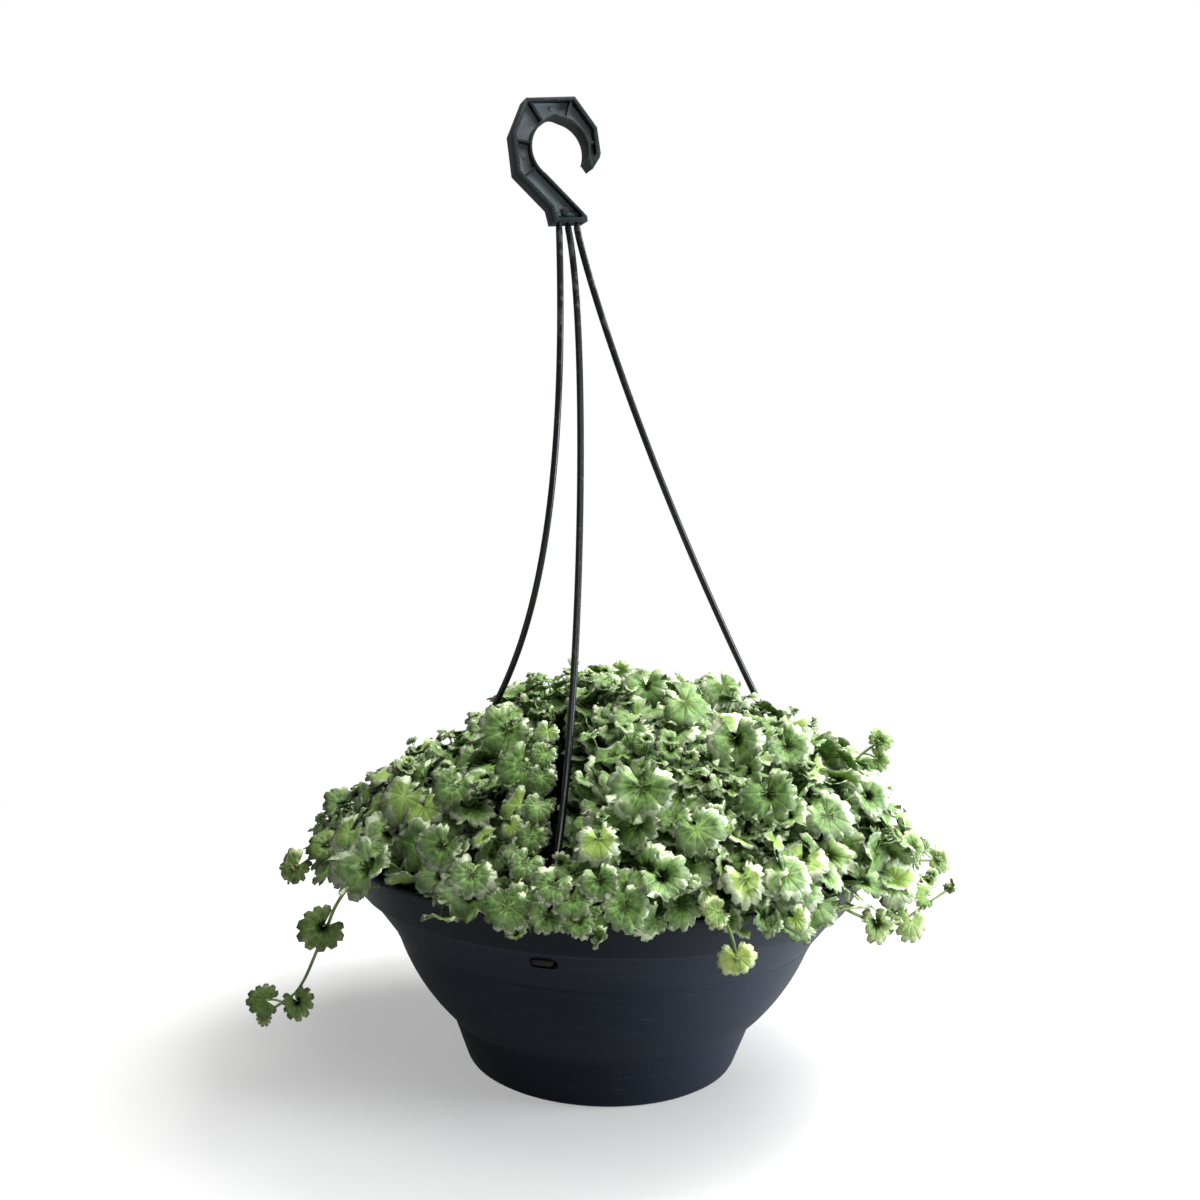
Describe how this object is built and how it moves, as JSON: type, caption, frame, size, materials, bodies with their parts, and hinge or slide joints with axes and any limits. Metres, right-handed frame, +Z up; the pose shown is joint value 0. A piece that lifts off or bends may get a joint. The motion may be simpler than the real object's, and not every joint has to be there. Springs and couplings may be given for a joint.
{
  "type": "planted hanging basket",
  "caption": "Planted hanging basket: flared plastic bowl with a banded rim, clip-in hanger stems, moulded hook and a mound of variegated trailing leaves.",
  "frame": {"origin": "centre of the bowl's base, on its underside", "axes": "+Z up along the bowl's axis, -Y to the front, where the front stem's slot is, +X to the right"},
  "size_m": [0.3771, 0.335, 0.5409],
  "materials": {
    "bowl_plastic": "matt moulded, anthracite",
    "hanger_plastic": "satin moulded, black green",
    "stem_plastic": "glossy extruded, black green",
    "potting_soil": "damp crumbly compost",
    "root_ball": "matted pale roots in compost",
    "plant_stem": "soft green plant stems",
    "variegated_leaf": "soft puckered leaves, green with cream edges",
    "shoot_leaf": "young leaves and thin green runners"
  },
  "bodies": {
    "bowl": {"bowl": "bowl_plastic", "potting_soil": "potting_soil", "root_ball_left": "root_ball", "root_ball_right": "root_ball", "root_ball_back": "root_ball", "crown_left": "plant_stem", "crown_right": "plant_stem", "crown_back": "plant_stem", "foliage_left": "variegated_leaf", "foliage_right": "variegated_leaf", "foliage_back": "variegated_leaf", "trailing_shoot_left": "shoot_leaf", "side_shoot_left": "shoot_leaf", "trailing_shoot_front": "shoot_leaf", "trailing_shoot_right": "shoot_leaf", "side_shoot_right": "shoot_leaf", "upper_shoot_right": "shoot_leaf", "trailing_shoot_back_left": "shoot_leaf", "trailing_shoot_back_right": "shoot_leaf"},
    "hook": {"hook": "hanger_plastic"},
    "stem_front": {"stem_front": "stem_plastic"},
    "stem_right": {"stem_right": "stem_plastic"},
    "stem_left": {"stem_left": "stem_plastic"}
  },
  "joints": [
    {"name": "hook_rock", "type": "hinge", "parent": "bowl", "child": "hook", "pos_m": [-0.0315, 0, 0.476], "axis": [0.9317, 0.3391, 0.1305], "range_deg": [-12, 12]},
    {"name": "unclip_stem_front", "type": "hinge", "parent": "bowl", "child": "stem_front", "pos_m": [-0.0315, 0, 0.476], "axis": [0.9998, 0.0175, 0], "range_deg": [0, 3], "stiffness_Nm_per_rad": 0.03, "springref_deg": -20.05},
    {"name": "unclip_stem_right", "type": "hinge", "parent": "bowl", "child": "stem_right", "pos_m": [-0.02656, 0.0018, 0.47669], "axis": [-0.237, 0.9715, 0], "range_deg": [0, 3], "stiffness_Nm_per_rad": 0.03, "springref_deg": -20.05},
    {"name": "unclip_stem_left", "type": "hinge", "parent": "bowl", "child": "stem_left", "pos_m": [-0.03644, -0.0018, 0.47531], "axis": [-0.8277, -0.5612, 0], "range_deg": [0, 3], "stiffness_Nm_per_rad": 0.03, "springref_deg": -20.05}
  ]
}
